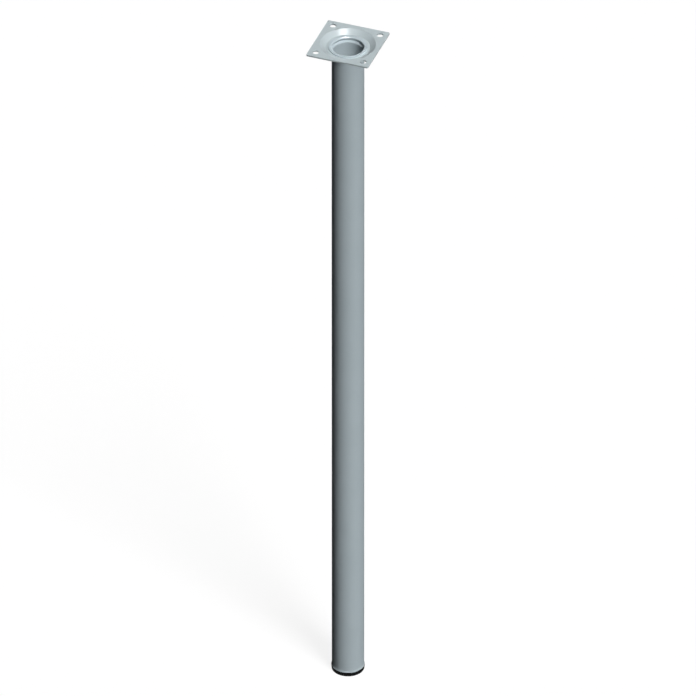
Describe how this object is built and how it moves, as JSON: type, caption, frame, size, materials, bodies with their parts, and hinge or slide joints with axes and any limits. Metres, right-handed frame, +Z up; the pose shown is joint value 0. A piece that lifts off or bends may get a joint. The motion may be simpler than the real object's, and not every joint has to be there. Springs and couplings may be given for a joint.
{
  "type": "table leg",
  "caption": "Round steel table leg: a straight tube crimped into a square dished screw plate at the top, with a black plastic floor glide plugged into its foot.",
  "frame": {"origin": "centre of the screw plate's top face, which lies against the underside of the table top", "axes": "+Z up along the tube, out of the plate towards the table top; X and Y along the plate's sides; the floor is at Z = -0.7"},
  "size_m": [0.06, 0.06, 0.7],
  "materials": {
    "silver_coat": "satin silver-grey powder coat on steel",
    "glide_plastic": "matte black moulded plastic"
  },
  "bodies": {
    "root": {"screw_plate": "silver_coat", "leg_tube": "silver_coat", "floor_glide": "glide_plastic"}
  },
  "joints": []
}
